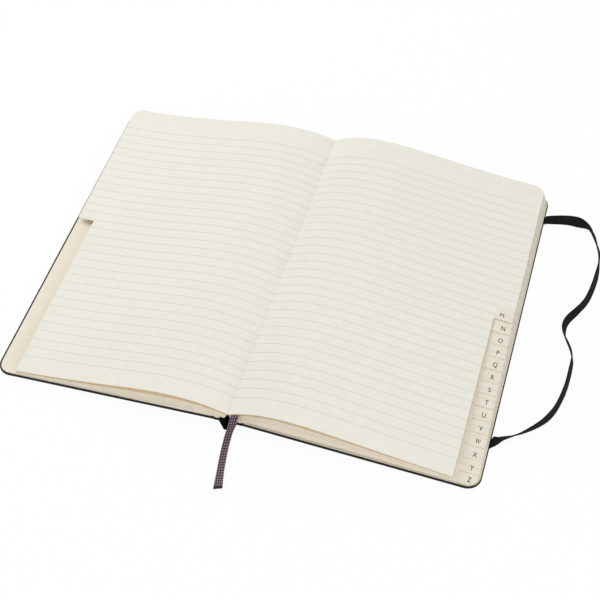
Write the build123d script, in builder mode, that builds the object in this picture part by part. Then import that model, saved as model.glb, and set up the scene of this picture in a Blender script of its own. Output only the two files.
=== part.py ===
from build123d import *
from math import asin, atan2, cos, hypot, radians, sin, tan
import os

# Block of leaves, which the case is made to fit (millimetres).
page_height = 209.0
page_reach = 132.8
left_set_back = 1.3
right_set_back = 2.4
page_corner = 6.0

# Case: two boards wrapped in a thin skin, joined by a limp spine strip, a little larger than the leaves.
cover_square = 0.9
fore_square = 1.5
board_thickness = 1.1
skin_thickness = 0.2
cover_corner = 8.0
turn_in = 14.0
turn_in_corner = 1.0
joint_groove = 3.0
hinge_gap = 0.35

# How the open case lies: the joints ride above the table and the fore-edges rest on it.
joint_rise = 7.7
joint_half_gap = 4.7
spine_width = 5.0
strip_thickness = 0.5

# Endpapers pasted over the turn-ins, a margin in from the edges of the cover.
endpaper_thickness = 0.15
endpaper_margin = 0.7

# Lettered sections, each a thin stack of leaves with one index tab cut at its fore-edge.
# The first and last tabs are shorter than the others by the trim at head and tail.
letters = "abcdefghijklmnopqrstuvwxyz"
first_right_letter = "m"
leaf_pitch = 0.31
leaf_fill = 0.8
tab_depth = 10.2
end_tab_trim = 1.4
tab_corner = 1.2
short_tab_share = 0.9

# Roots of the leaves, fanned on a leaning line each side of the gutter.
gutter_rise = 14.0
root_gap = 0.12
root_pitch = 0.36
root_lean = 25.0

# Arch of the leaves: distances from the gutter, and heights over the inside of the cover.
# The lowest leaf of a side lies at its floor, and at its rim near the fore-edge. The top leaf swells over
# the shoulder, falls away at the knee by a slope, and runs out low at its far end.
arch_shoulder = 18.0
arch_crest = 38.0
arch_knee = 60.0
arch_far = 108.0
leaf_overrun = 0.4
right_floor = 2.0
right_rim = 1.0
right_shoulder_low = 5.5
right_shoulder_high = 16.6
right_knee = 12.4
right_slope = 0.11
right_far = 7.2
left_floor = 0.4
left_rim = 0.4
left_shoulder_low = 3.9
left_shoulder_high = 13.0
left_knee = 9.3
left_slope = 0.138
left_far = 2.9

# Cloth lining glued along the roots.
lining_thickness = 0.25
lining_gap = 0.1
lining_top = 0.8

# Card pocket with cloth gussets, inside the back cover.
pocket_mouth = 12.5
pocket_margin = 2.5
pocket_corner = 6.0
panel_thickness = 0.4
mouth_height = 1.1
lip_height = 0.2
gusset_width = 7.0

# Elastic closure, glued into two channels in the back board.
elastic_width = 6.5
elastic_thickness = 0.7
elastic_head_y = 86.8
elastic_tail_y = -75.4
elastic_tuck = 17.5
channel_clearance = 0.1

# Marker ribbon, laid under the first right-hand section, close to the gutter.
ribbon_width = 5.2
ribbon_thickness = 0.28
ribbon_near_edge = 1.7
ribbon_fill = 0.6

# Loose loop of the elastic, seen from above: each point's distance out from the fore-edge, and its Y.
elastic_route = (
    (0.38, 86.8),
    (10.7, 89.9),
    (20.3, 89.9),
    (27.3, 84.9),
    (32.0, 76.8),
    (35.3, 66.0),
    (36.3, 51.0),
    (33.1, 36.0),
    (26.7, 20.5),
    (24.3, 7.0),
    (29.5, -4.5),
    (32.5, -18.5),
    (31.3, -34.5),
    (25.5, -50.0),
    (15.9, -62.5),
    (7.5, -70.2),
    (0.38, -75.4),
)
elastic_clearance = 0.25

# Share of the shorter run beside a bend of a route that the bend may take up.
bend_share = 0.45

# Free end of the ribbon, from the leaves down to the table: X, distance past their tail, and height.
ribbon_route = (
    (4.2, 0.55, 15.3),
    (4.1, 2.9, 13.7),
    (3.5, 4.7, 10.7),
    (2.5, 6.5, 6.8),
    (2.0, 9.4, 3.0),
    (2.1, 13.6, 1.9),
    (2.9, 19.1, 1.3),
    (4.2, 27.0, 1.27),
    (5.9, 35.5, 1.27),
)

# Sizes that follow from the ones above.
right = 1
left = -1
cover_height = page_height + 2 * cover_square
fore_edge = page_reach + fore_square
cover_width = hypot(fore_edge - joint_half_gap, joint_rise)
cover_thickness = board_thickness + 2 * skin_thickness
cover_slope = asin(joint_rise / cover_width)
arch_run_out = page_reach + leaf_overrun
tab_pitch = (page_height + 2 * end_tab_trim) / len(letters)
right_letters = letters[letters.index(first_right_letter):]
left_letters = letters[:letters.index(first_right_letter)]
right_slots = len(right_letters) + 2
left_slots = len(left_letters) + 1
pocket_base = cover_thickness + endpaper_thickness
pocket_end = cover_width - pocket_margin
page_ceiling = joint_rise + gutter_rise + max(right_shoulder_high, left_shoulder_high)
channel_base = (cover_thickness - elastic_thickness) / 2 - channel_clearance
channel_depth = elastic_thickness + 2 * channel_clearance
channel_length = elastic_tuck + channel_clearance
channel_width = elastic_width + 2 * channel_clearance


def cover_plane(side, height):
    """Plane at a height over a cover's outer face. Its X runs from the joint to the fore-edge."""
    along = Vector(side * cos(cover_slope), 0, -sin(cover_slope))
    normal = Vector(side * sin(cover_slope), 0, cos(cover_slope))
    joint = Vector(side * joint_half_gap, 0, joint_rise)
    return Plane(origin=joint + normal * height, x_dir=along, z_dir=normal)


def cover_outline(sketch, start, inset, corner):
    """Sheet as wide as the cover less an inset, from a start near the joint, round at the fore-edge."""
    length = cover_width - inset - start
    with Locations((start + length / 2, 0)):
        Rectangle(length, cover_height - 2 * inset)
    fillet(sketch.vertices().group_by(Axis.X)[-1], corner)


def channel_outlines():
    """The two channels that the elastic's ends are glued into, open at the fore-edge of the back cover."""
    middle = cover_width - channel_length / 2
    with Locations((middle, elastic_head_y), (middle, elastic_tail_y)):
        Rectangle(channel_length, channel_width)


def inside_height(distance):
    """Height of the inside face of a cover, at a distance from the gutter."""
    return joint_rise + cover_thickness / cos(cover_slope) - (distance - joint_half_gap) * tan(cover_slope)


def stack_slots(side):
    """Number of slots in the stack of one side: its sections, its flyleaf and, on the right, the ribbon."""
    return right_slots if side == right else left_slots


def arch_facts(side):
    """Floor, rim, low and high shoulder, knee, slope at the knee and far height of one side's leaves."""
    if side == right:
        shoulders = (right_shoulder_low, right_shoulder_high)
        return (right_floor, right_rim, *shoulders, right_knee, right_slope, right_far)
    shoulders = (left_shoulder_low, left_shoulder_high)
    return (left_floor, left_rim, *shoulders, left_knee, left_slope, left_far)


def root_point(side, share):
    """Root of a leaf: share 0 is the lowest leaf of its side, and 1 is the top of the gutter."""
    down = stack_slots(side) * root_pitch * (1 - share)
    return (
        side * (root_gap + down * sin(radians(root_lean))),
        gutter_rise - down * cos(radians(root_lean)),
    )


def leaf_curve(side, share):
    """Points that steer one leaf's face: from the root to the knee, and on to a point past the fore-edge."""
    floor, rim, shoulder_low, shoulder_high, knee, slope, far = arch_facts(side)
    knee_lift = floor + (knee - floor) * share
    knee_run = arch_knee - arch_crest
    knee_fall = slope * share * knee_run
    lifts = (
        (arch_shoulder, shoulder_low + (shoulder_high - shoulder_low) * share),
        (arch_crest, knee_lift + knee_fall),
        (arch_knee, knee_lift),
        (arch_knee + knee_run, knee_lift - knee_fall),
        (arch_far, rim + (far - rim) * share),
        (arch_run_out, rim + stack_slots(side) * leaf_pitch * share),
    )
    return [root_point(side, share)] + [(side * x, inside_height(x) + lift) for x, lift in lifts]


def leaf_profile(side, low, high):
    """Section through a sheet that fills its stack from the low share to the high one."""
    upper = leaf_curve(side, high)
    lower = leaf_curve(side, low)
    with BuildLine() as border:
        Bezier(*upper[:4])
        Bezier(*upper[3:])
        Line(upper[-1], lower[-1])
        Bezier(*lower[:4])
        Bezier(*lower[3:])
        Line(upper[0], lower[0])
    make_face(border.edges())


def page_outline(sketch, side, reach, cut_from):
    """Leaf seen from above, cut back by the tab depth from one height down to the tail."""
    tail = -page_height / 2
    with Locations((side * reach / 2, 0)):
        Rectangle(reach, page_height)
    if cut_from > tail:
        with Locations((side * (reach - tab_depth / 2), (cut_from + tail) / 2)):
            Rectangle(tab_depth, cut_from - tail, mode=Mode.SUBTRACT)
    outer = sketch.vertices().filter_by(lambda corner: abs(corner.X) > reach - tab_depth / 2)
    if cut_from > tail:
        cut_edge = sketch.vertices().filter_by(lambda corner: 0 < abs(corner.X) < reach - tab_depth / 2)
        fillet(outer.group_by(Axis.Y)[0] + cut_edge.group_by(Axis.Y)[0], tab_corner)
        outer = sketch.vertices().filter_by(lambda corner: abs(corner.X) > reach - tab_depth / 2)
        tab_room = short_tab_share * (page_height / 2 - cut_from - tab_corner)
        fillet(outer.group_by(Axis.Y)[-1], min(page_corner, tab_room))
    else:
        fillet(outer, page_corner)


os.makedirs("parts", exist_ok=True)

# Cover skins: black sheets that wrap the outside, turn in over the edges and frame the inside.
for side, name in ((left, "front_cover_skin"), (right, "back_cover_skin")):
    with BuildPart() as cover_skin:
        with BuildSketch(cover_plane(side, 0)) as wrap:
            cover_outline(wrap, hinge_gap, 0, cover_corner)
        extrude(amount=cover_thickness)
        with BuildSketch(cover_plane(side, skin_thickness)) as hollow:
            cover_outline(hollow, hinge_gap, skin_thickness, cover_corner - skin_thickness)
        extrude(amount=board_thickness, mode=Mode.SUBTRACT)
        with BuildSketch(cover_plane(side, cover_thickness - skin_thickness)) as window:
            cover_outline(window, hinge_gap, turn_in, turn_in_corner)
        extrude(amount=skin_thickness, mode=Mode.SUBTRACT)
        with BuildSketch(cover_plane(side, skin_thickness)) as groove:
            with Locations((hinge_gap + joint_groove / 2, 0)):
                Rectangle(joint_groove, cover_height)
        extrude(amount=cover_thickness - skin_thickness, mode=Mode.SUBTRACT)
        if side == right:
            with BuildSketch(cover_plane(side, channel_base)) as slits:
                channel_outlines()
            extrude(amount=channel_depth, mode=Mode.SUBTRACT)
    cover_skin.part.label = name
    export_step(cover_skin.part, f"parts/{name}.step")

# Boards: stiff card inside each skin, set back from the joint so that the cover can hinge.
for side, name in ((left, "front_board"), (right, "back_board")):
    with BuildPart() as board:
        with BuildSketch(cover_plane(side, skin_thickness)) as card:
            cover_outline(card, hinge_gap + joint_groove, skin_thickness, cover_corner - skin_thickness)
        extrude(amount=board_thickness)
        if side == right:
            with BuildSketch(cover_plane(side, channel_base)) as channels:
                channel_outlines()
            extrude(amount=channel_depth, mode=Mode.SUBTRACT)
    board.part.label = name
    export_step(board.part, f"parts/{name}.step")

# Endpapers: sheets pasted down inside each cover, over the turn-ins.
for side, name in ((left, "front_endpaper"), (right, "back_endpaper")):
    with BuildPart() as endpaper:
        with BuildSketch(cover_plane(side, cover_thickness)) as sheet:
            cover_outline(sheet, hinge_gap + joint_groove, endpaper_margin, cover_corner - endpaper_margin)
        extrude(amount=endpaper_thickness)
    endpaper.part.label = name
    export_step(endpaper.part, f"parts/{name}.step")

# Spine strip: the limp back of the case, folded to a trough between the joints while the book is open.
joint_height = joint_rise + skin_thickness / 2
crease_height = strip_thickness / 2
with BuildPart() as spine_strip:
    with BuildSketch(Plane.XZ) as flat:
        with Locations((0, crease_height)):
            Rectangle(spine_width - 2 * hinge_gap, strip_thickness)
    extrude(amount=cover_height / 2, both=True)
spine_strip.part.label = "spine_strip"
export_step(spine_strip.part, "parts/spine_strip.step")

for side, name in ((left, "spine_shoulder_front"), (right, "spine_shoulder_back")):
    joint_point = Vector(side * joint_half_gap, 0, joint_height)
    crease_point = Vector(side * spine_width / 2, 0, crease_height)
    fall = crease_point - joint_point
    with BuildPart() as shoulder:
        with BuildSketch(Plane(origin=joint_point + fall / 2, x_dir=fall, z_dir=(0, -1, 0))) as wall:
            Rectangle(fall.length - 2 * hinge_gap, strip_thickness)
        extrude(amount=cover_height / 2, both=True)
    shoulder.part.label = name
    export_step(shoulder.part, f"parts/{name}.step")

# Spine linings: strips of cloth along the roots of the leaves, one each side of the gutter.
for side, name in ((left, "spine_lining_front"), (right, "spine_lining_back")):
    lining_length = stack_slots(side) * root_pitch - lining_top
    down = Vector(side * sin(radians(root_lean)), 0, -cos(radians(root_lean)))
    outward = Vector(-side * cos(radians(root_lean)), 0, -sin(radians(root_lean)))
    top = Vector(side * root_gap, 0, gutter_rise)
    middle = top + down * (lining_top + lining_length / 2) + outward * (lining_gap + lining_thickness / 2)
    with BuildPart() as lining:
        with BuildSketch(Plane(origin=middle, x_dir=down, z_dir=(0, -1, 0))) as cloth:
            Rectangle(lining_length, lining_thickness)
        extrude(amount=page_height / 2, both=True)
    lining.part.label = name
    export_step(lining.part, f"parts/{name}.step")

# Flyleaves: the uncut leaves under A and behind Z.
for side, name in ((left, "front_flyleaf"), (right, "back_flyleaf")):
    with BuildPart() as flyleaf:
        with BuildSketch(Plane.XZ) as fold:
            leaf_profile(side, 0, leaf_fill / stack_slots(side))
        extrude(amount=page_height / 2, both=True)
        with BuildSketch(Plane.XY) as trim:
            page_outline(trim, side, page_reach, -page_height / 2)
        extrude(amount=page_ceiling, mode=Mode.INTERSECT)
    flyleaf.part.label = name
    export_step(flyleaf.part, f"parts/{name}.step")

# Sections A to Z: each is cut back below its own tab, so that the tabs step down the fore-edge.
for index, letter in enumerate(letters):
    if letter in right_letters:
        side = right
        slot = len(right_letters) - right_letters.index(letter)
        if letter == first_right_letter:
            slot = right_slots - 1
    else:
        side = left
        slot = 1 + index
    slots = stack_slots(side)
    low = slot / slots
    set_back = right_set_back if side == right else left_set_back
    reach = page_reach - set_back * low
    tab_end = page_height / 2 + end_tab_trim - (index + 1) * tab_pitch
    with BuildPart() as section:
        with BuildSketch(Plane.XZ) as fold:
            leaf_profile(side, low, low + leaf_fill / slots)
        extrude(amount=page_height / 2, both=True)
        with BuildSketch(Plane.XY) as trim:
            page_outline(trim, side, reach, tab_end)
        extrude(amount=page_ceiling, mode=Mode.INTERSECT)
    section.part.label = f"section_{letter}"
    export_step(section.part, f"parts/section_{letter}.step")

# Marker ribbon inside the book: a strip from head to tail under the M section.
ribbon_slot = right_slots - 2
ribbon_low = (ribbon_slot + (leaf_fill - ribbon_fill) / 2) / right_slots
ribbon_middle = ribbon_near_edge + ribbon_width / 2
with BuildPart() as ribbon_in_block:
    with BuildSketch(Plane.XZ) as fold:
        leaf_profile(right, ribbon_low, ribbon_low + ribbon_fill / right_slots)
    extrude(amount=page_height / 2, both=True)
    with BuildSketch(Plane.XY) as trim:
        with Locations((ribbon_middle, 0)):
            Rectangle(ribbon_width, page_height)
    extrude(amount=page_ceiling, mode=Mode.INTERSECT)
ribbon_in_block.part.label = "ribbon_in_block"
export_step(ribbon_in_block.part, "parts/ribbon_in_block.step")

# Pocket: a card panel folded down at the fore-edge, lifted at its mouth near the spine by two cloth gussets.
pocket_length = pocket_end - pocket_mouth
pocket_tilt = atan2(mouth_height - lip_height, pocket_length)
lip_top = cover_plane(right, pocket_base + lip_height)
panel_plane = Plane(
    origin=lip_top.origin + lip_top.x_dir * pocket_end,
    x_dir=lip_top.x_dir * cos(pocket_tilt) - lip_top.z_dir * sin(pocket_tilt),
    z_dir=lip_top.z_dir * cos(pocket_tilt) + lip_top.x_dir * sin(pocket_tilt),
)
with BuildPart() as pocket_panel:
    with BuildSketch(panel_plane) as card:
        with Locations((-pocket_length / 2, 0)):
            Rectangle(pocket_length, cover_height - 2 * pocket_margin)
        fillet(card.vertices().group_by(Axis.X)[-1], pocket_corner)
    extrude(amount=panel_thickness)
    with BuildSketch(cover_plane(right, pocket_base)) as lip:
        with Locations((pocket_end - panel_thickness / 2, 0)):
            Rectangle(panel_thickness, cover_height - 2 * pocket_margin - 2 * pocket_corner)
    extrude(amount=lip_height + panel_thickness / 2)
pocket_panel.part.label = "pocket_panel"
export_step(pocket_panel.part, "parts/pocket_panel.step")

gusset_end = pocket_end - pocket_corner
gusset_end_height = lip_height + pocket_corner * tan(pocket_tilt)
gusset_outer_y = cover_height / 2 - pocket_margin
for end, name in ((1, "pocket_gusset_head"), (-1, "pocket_gusset_tail")):
    base = cover_plane(right, pocket_base)
    corner = base.origin + Vector(0, end * gusset_outer_y, 0)
    side_plane = Plane(origin=corner, x_dir=base.x_dir, z_dir=(0, -1, 0))
    with BuildPart() as gusset:
        with BuildSketch(side_plane) as cloth:
            with BuildLine():
                Polyline(
                    (pocket_mouth, 0),
                    (gusset_end, 0),
                    (gusset_end, gusset_end_height),
                    (pocket_mouth, mouth_height),
                    close=True,
                )
            make_face()
        extrude(amount=end * gusset_width)
    gusset.part.label = name
    export_step(gusset.part, f"parts/{name}.step")

# Glued ends of the elastic, in the channels of the back board.
for end_y, name in ((elastic_head_y, "elastic_end_head"), (elastic_tail_y, "elastic_end_tail")):
    with BuildPart() as elastic_end:
        with BuildSketch(cover_plane(right, (cover_thickness - elastic_thickness) / 2)) as tape:
            with Locations((cover_width - elastic_tuck / 2, end_y)):
                Rectangle(elastic_tuck, elastic_width)
        extrude(amount=elastic_thickness)
    elastic_end.part.label = name
    export_step(elastic_end.part, f"parts/{name}.step")


def bend_radii(points):
    """Radius at each inner point of a route, as large as its two runs allow."""
    radii = []
    for before, here, after in zip(points, points[1:], points[2:]):
        run_in = Vector(*here) - Vector(*before)
        run_out = Vector(*after) - Vector(*here)
        half_turn = radians(run_in.get_angle(run_out)) / 2
        radii.append(bend_share * min(run_in.length, run_out.length) / tan(half_turn))
    return radii


def report_cord(name, radii, solid, area, length):
    """Prints a cord's bends, and its volume beside its section times its length."""
    print(name, "length", round(length, 1), "radii", [round(radius, 1) for radius in radii])
    print(name, "volume", round(solid.volume, 1), "section x length", round(area * length, 1))


# Free loop of the elastic, on edge on the table from one channel round to the other.
elastic_points = [(fore_edge + out, y, elastic_clearance + elastic_width / 2) for out, y in elastic_route]
elastic_radii = bend_radii(elastic_points)
with BuildPart() as elastic_band:
    with BuildLine() as loop:
        FilletPolyline(*elastic_points, radius=elastic_radii)
    with BuildSketch(Plane(origin=loop.line @ 0, x_dir=(0, 0, 1), z_dir=loop.line % 0)) as tape:
        Rectangle(elastic_width, elastic_thickness)
    sweep()
elastic_band.part.label = "elastic_band"
export_step(elastic_band.part, "parts/elastic_band.step")
elastic_area = elastic_width * elastic_thickness
report_cord("elastic_band", elastic_radii, elastic_band.part, elastic_area, loop.wire().length)

# Free end of the marker ribbon.
ribbon_points = [(x, -page_height / 2 - past, z) for x, past, z in ribbon_route]
ribbon_radii = bend_radii(ribbon_points)
ribbon_across = (cos(radians(root_lean)), 0, sin(radians(root_lean)))
with BuildPart() as ribbon_tail:
    with BuildLine() as drop:
        FilletPolyline(*ribbon_points, radius=ribbon_radii)
    with BuildSketch(Plane(origin=drop.line @ 0, x_dir=ribbon_across, z_dir=drop.line % 0)) as tape:
        Rectangle(ribbon_width, ribbon_thickness)
    sweep()
ribbon_tail.part.label = "ribbon_tail"
export_step(ribbon_tail.part, "parts/ribbon_tail.step")
ribbon_area = ribbon_width * ribbon_thickness
report_cord("ribbon_tail", ribbon_radii, ribbon_tail.part, ribbon_area, drop.wire().length)
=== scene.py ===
from functools import lru_cache
from math import asin, cos, hypot, radians, sin, tan

import bpy
from mathutils import Matrix, Vector


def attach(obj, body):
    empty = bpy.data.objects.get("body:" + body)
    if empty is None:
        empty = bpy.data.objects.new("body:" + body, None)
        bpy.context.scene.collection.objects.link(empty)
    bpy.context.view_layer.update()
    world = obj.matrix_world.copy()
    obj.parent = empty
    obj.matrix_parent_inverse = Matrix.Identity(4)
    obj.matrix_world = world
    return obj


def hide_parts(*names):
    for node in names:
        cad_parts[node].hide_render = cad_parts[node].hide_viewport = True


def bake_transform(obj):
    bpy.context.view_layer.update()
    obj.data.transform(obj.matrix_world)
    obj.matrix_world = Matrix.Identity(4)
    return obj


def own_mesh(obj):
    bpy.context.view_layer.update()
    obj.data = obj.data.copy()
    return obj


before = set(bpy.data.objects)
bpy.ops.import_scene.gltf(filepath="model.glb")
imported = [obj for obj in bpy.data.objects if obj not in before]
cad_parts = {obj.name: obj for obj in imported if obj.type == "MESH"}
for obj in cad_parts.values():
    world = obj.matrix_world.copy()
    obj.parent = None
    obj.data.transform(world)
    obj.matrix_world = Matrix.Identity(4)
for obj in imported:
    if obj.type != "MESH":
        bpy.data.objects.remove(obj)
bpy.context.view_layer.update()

mm = 0.001

# Boards: two sheets of stiff grey board, die-cut with round fore-edge corners. They are glued inside
# the black covering, so their CAD solids stay as they are and only take on the board's finish.
def linear(code):
    """Linear colour of an sRGB hex value."""
    parts = [int(code[start:start + 2], 16) / 255 for start in (1, 3, 5)]
    return [part / 12.92 if part <= 0.04045 else ((part + 0.055) / 1.055) ** 2.4 for part in parts] + [1]


def feed(node, links):
    """Feeds sockets of a node from the outputs of others."""
    for key, source in links.items():
        node.id_data.links.new(source, node.inputs[key])


def add_node(material, kind, settings=None, links=None):
    """Adds a node to a material, gives it its settings, and feeds its sockets from other nodes."""
    node = material.node_tree.nodes.new(kind)
    for key, value in (settings or {}).items():
        if hasattr(node, str(key)):
            setattr(node, key, value)
        else:
            node.inputs[key].default_value = value
    feed(node, links or {})
    return node


def start_material(name, settings):
    """A new material and its surface shader, with the shader's plain values set."""
    material = bpy.data.materials.new(name)
    material.use_nodes = True
    surface = material.node_tree.nodes["Principled BSDF"]
    for key, value in settings.items():
        surface.inputs[key].default_value = value
    return material, surface


def dress(node_name, material):
    """Gives a CAD node that stays in sight its finish."""
    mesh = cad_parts[node_name].data
    mesh.materials.clear()
    mesh.materials.append(material)


# Greyboard is pulped waste paper rolled flat: dull grey, with short darker fibres about 3 mm long.
greyboard, surface = start_material("greyboard", {"Roughness": 0.9, "Specular IOR Level": 0.2})
place = add_node(greyboard, "ShaderNodeTexCoord")
pulp = add_node(
    greyboard,
    "ShaderNodeTexNoise",
    {"Scale": 1 / (3 * mm), "Detail": 6},
    {"Vector": place.outputs["Object"]},
)
tone = add_node(greyboard, "ShaderNodeValToRGB", {}, {"Fac": pulp.outputs["Fac"]})
tone.color_ramp.elements[0].color = linear("#6f6b64")
tone.color_ramp.elements[1].color = linear("#a39d92")
feed(surface, {"Base Color": tone.outputs["Color"]})
for board in ("front_board", "back_board"):
    dress(board, greyboard)

# Cover skins: sheets of black leatherette, coated on paper, wrapped round each board and turned in over
# three edges. A single thickness runs on across the joint groove to the spine, and bends there.
left = -1
right = 1
cover_height = 210.8 * mm
fore_edge = 134.3 * mm
joint_half_gap = 4.7 * mm
joint_rise = 7.7 * mm
joint_groove = 3.35 * mm
cover_thickness = 1.5 * mm
cover_corner = 8 * mm
skin_thickness = 0.2 * mm
turn_in = 14 * mm
edge_round = 0.4 * mm
corner_steps = 10
sharp_angle = radians(60)
cover_smooth = radians(40)
slit_width = 6.7 * mm
slit_depth = 0.65 * mm
elastic_head_y = 86.8 * mm
elastic_tail_y = -75.4 * mm
cover_width = hypot(fore_edge - joint_half_gap, joint_rise)
cover_slope = asin(joint_rise / cover_width)
# Least part of a normal along an axis, on a face that looks that way and on one that lies flat.
square_on = 0.9
lies_flat = 0.99

# Leatherette is embossed with a fine pebble of about 0.9 mm, so its black breaks into small soft glints.
leatherette, surface = start_material("black_leatherette", {"IOR": 1.5, "Specular IOR Level": 0.25})
place = add_node(leatherette, "ShaderNodeTexCoord")
pebble = add_node(
    leatherette,
    "ShaderNodeTexVoronoi",
    {"feature": "SMOOTH_F1", "Scale": 1 / (0.9 * mm), "Smoothness": 0.6},
    {"Vector": place.outputs["Object"]},
)
wear = add_node(
    leatherette,
    "ShaderNodeTexNoise",
    {"Scale": 1 / (5 * mm), "Detail": 5},
    {"Vector": place.outputs["Object"]},
)
tone = add_node(leatherette, "ShaderNodeValToRGB", {}, {"Fac": wear.outputs["Fac"]})
tone.color_ramp.elements[0].color = linear("#111011")
tone.color_ramp.elements[1].color = linear("#181718")
polish = add_node(
    leatherette,
    "ShaderNodeMapRange",
    {"From Min": 0.3, "From Max": 0.7, "To Min": 0.5, "To Max": 0.56},
    {"Value": wear.outputs["Fac"]},
)
emboss = add_node(
    leatherette,
    "ShaderNodeBump",
    {"Strength": 0.35, "Distance": 0.1 * mm},
    {"Height": pebble.outputs["Distance"]},
)
feed(surface, {"Base Color": tone.outputs["Color"], "Roughness": polish.outputs["Result"]})
feed(surface, {"Normal": emboss.outputs["Normal"]})


def turned_place(x_way, y_way, z_way, origin):
    """Place whose axes run three given ways from an origin."""
    place = Matrix((x_way, y_way, z_way)).transposed().to_4x4()
    place.translation = origin
    return place


def cover_place(side):
    """Place of an open cover: X from its joint to its fore-edge, Z from its outer face to its inside."""
    along = Vector((side * cos(cover_slope), 0, -sin(cover_slope)))
    inward = Vector((side * sin(cover_slope), 0, cos(cover_slope)))
    return turned_place(along, inward.cross(along), inward, (side * joint_half_gap, 0, joint_rise))


def add_block(name, low, high):
    """A block between two corners, ready to be shaped, as the only selected object."""
    bpy.ops.mesh.primitive_cube_add(size=1)
    block = bpy.context.object
    block.name = name
    block.data.name = name
    low = Vector(low)
    high = Vector(high)
    block.data.transform(Matrix.LocRotScale((low + high) / 2, None, high - low))
    return block


def pick(piece, kind, test):
    """Goes into edit mode and selects only the faces or edges whose middle passes a test."""
    bpy.ops.object.mode_set(mode="EDIT")
    bpy.ops.mesh.select_mode(type=kind)
    bpy.ops.mesh.select_all(action="DESELECT")
    bpy.ops.object.mode_set(mode="OBJECT")
    mesh = piece.data
    if kind == "FACE":
        for face in mesh.polygons:
            face.select = test(face.center, face.normal)
    else:
        for edge in mesh.edges:
            first, second = (mesh.vertices[index].co for index in edge.vertices)
            edge.select = test((first + second) / 2, second - first)
    bpy.ops.object.mode_set(mode="EDIT")


def apply_modifier(piece, kind, **settings):
    """Adds a modifier to the active piece and applies it."""
    modifier = piece.modifiers.new(kind.title(), kind)
    for key, value in settings.items():
        setattr(modifier, key, value)
    bpy.ops.object.modifier_apply(modifier=modifier.name)


def round_edges(piece, radius, steps, test):
    """Rounds the edges that pass a test."""
    pick(piece, "EDGE", test)
    bpy.ops.mesh.bevel(offset=radius, segments=steps, affect="EDGES")
    bpy.ops.object.mode_set(mode="OBJECT")


def set_in_place(piece, place, angle, material):
    """Moves a finished mesh to its place, smooths it and gives it its material."""
    piece.data.transform(place)
    bpy.ops.object.shade_smooth_by_angle(angle=angle)
    piece.data.materials.append(material)


# The frame leaves its CAD nodes selected, so everything is deselected before the first piece is made.
bpy.ops.object.select_all(action="DESELECT")
for side, name, body in (
    (left, "front_cover_skin", "front_cover"),
    (right, "back_cover_skin", "back_cover"),
):
    skin = add_block(
        f"wrapped_{body}",
        (joint_groove, -cover_height / 2, 0),
        (cover_width, cover_height / 2, cover_thickness),
    )
    pick(skin, "FACE", lambda middle, normal: normal.x < -square_on)
    bpy.ops.mesh.delete(type="ONLY_FACE")
    pick(
        skin,
        "EDGE",
        lambda middle, run: middle.x < joint_groove + mm and middle.z < mm and abs(middle.y) < mm,
    )
    bpy.ops.mesh.extrude_region_move(TRANSFORM_OT_translate={"value": (-joint_groove, 0, 0)})
    round_edges(
        skin,
        cover_corner,
        corner_steps,
        lambda middle, run: middle.x > cover_width - mm and abs(run.z) > mm,
    )
    apply_modifier(
        skin, "BEVEL", width=edge_round, segments=3, limit_method="ANGLE", angle_limit=sharp_angle
    )
    pick(skin, "FACE", lambda middle, normal: normal.z > lies_flat)
    bpy.ops.mesh.inset(thickness=turn_in, use_boundary=True)
    bpy.ops.mesh.delete(type="FACE")
    if side == right:
        slits = (elastic_head_y, elastic_tail_y)
        cuts = [((0, y + end * slit_width / 2, 0), (0, 1, 0)) for y in slits for end in (-1, 1)]
        cuts += [((0, 0, cover_thickness / 2 + end * slit_depth / 2), (0, 0, 1)) for end in (-1, 1)]
        for point, normal in cuts:
            pick(skin, "FACE", lambda middle, facing: facing.x > square_on)
            bpy.ops.mesh.bisect(plane_co=point, plane_no=normal)
        pick(
            skin,
            "FACE",
            lambda middle, facing: facing.x > square_on
            and abs(middle.z - cover_thickness / 2) < slit_depth / 2
            and min(abs(middle.y - y) for y in slits) < slit_width / 2,
        )
        bpy.ops.mesh.delete(type="FACE")
    bpy.ops.object.mode_set(mode="OBJECT")
    apply_modifier(skin, "SOLIDIFY", thickness=skin_thickness, offset=-1)
    set_in_place(skin, cover_place(side), cover_smooth, leatherette)
    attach(skin, body)
    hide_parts(name)

# Spine: the same leatherette, lined and left without a board. While the book lies open it folds down
# into a trough of three flat strips, which bend along the two joints and the two creases between them.
strip_thickness = 0.5 * mm
strip_round = strip_thickness * 0.45
smooth_angle = radians(50)
spine_width = 5 * mm
joint_height = joint_rise + skin_thickness / 2
joint_points = {side: Vector((side * joint_half_gap, 0, joint_height)) for side in (left, right)}
crease_points = {
    side: Vector((side * spine_width / 2, 0, strip_thickness / 2)) for side in (left, right)
}
for name, body, start, end in (
    ("spine_shoulder_front", "front_shoulder", joint_points[left], crease_points[left]),
    ("spine_strip", "spine", crease_points[left], crease_points[right]),
    ("spine_shoulder_back", "back_shoulder", crease_points[right], joint_points[right]),
):
    run = (end - start).length
    strip = add_block(
        f"folded_{body}",
        (-strip_thickness / 2, -cover_height / 2, -strip_thickness / 2),
        (run + strip_thickness / 2, cover_height / 2, strip_thickness / 2),
    )
    round_edges(strip, strip_round, 4, lambda middle, run: abs(run.y) > mm)
    along = (end - start).normalized()
    across = Vector((0, 1, 0))
    place = turned_place(along, across, along.cross(across), start)
    set_in_place(strip, place, smooth_angle, leatherette)
    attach(strip, body)
    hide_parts(name)

# Endpapers: sheets of ivory paper pasted down inside both covers, over the turn-ins of the skin.
# The back one's CAD solid stays. The front one is laid again, a little further in from the fore-edge,
# where a black rim of leatherette shows beside it.
endpaper_start = joint_groove + mm
endpaper_thickness = 0.15 * mm
endpaper_margin = 0.7 * mm
front_fore_margin = 1.2 * mm

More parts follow.
